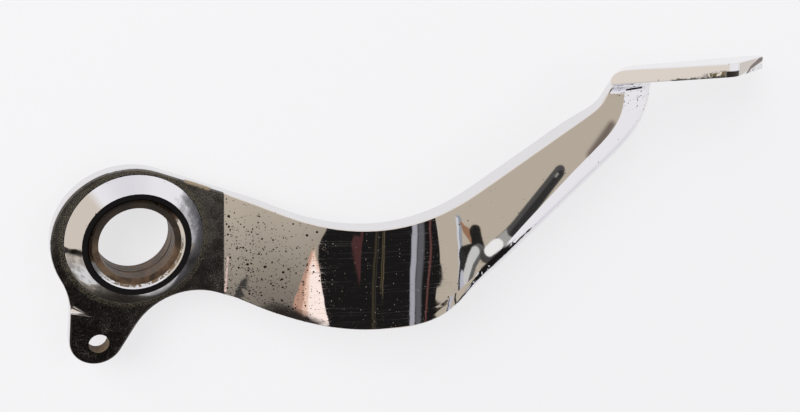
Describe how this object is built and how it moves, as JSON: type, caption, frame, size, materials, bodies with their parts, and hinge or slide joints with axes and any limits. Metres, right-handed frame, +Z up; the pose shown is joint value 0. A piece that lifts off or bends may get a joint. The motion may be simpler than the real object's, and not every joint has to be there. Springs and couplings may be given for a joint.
{
  "type": "brake pedal",
  "caption": "Chromed motorbike brake pedal: pivot boss with bushes, rod lug, joggled flat arm and a leaf-shaped foot tread.",
  "frame": {"origin": "on the pivot axis, at the middle of the boss's length", "axes": "+X forward along the arm to the tread, +Y inboard along the pivot axis, +Z up"},
  "size_m": [0.2569, 0.0283, 0.0909],
  "materials": {
    "plating": "polished",
    "bush": "rough"
  },
  "bodies": {
    "root": {"pedal_arm": "plating", "outer_bush": "bush", "inner_bush": "bush"}
  },
  "joints": []
}
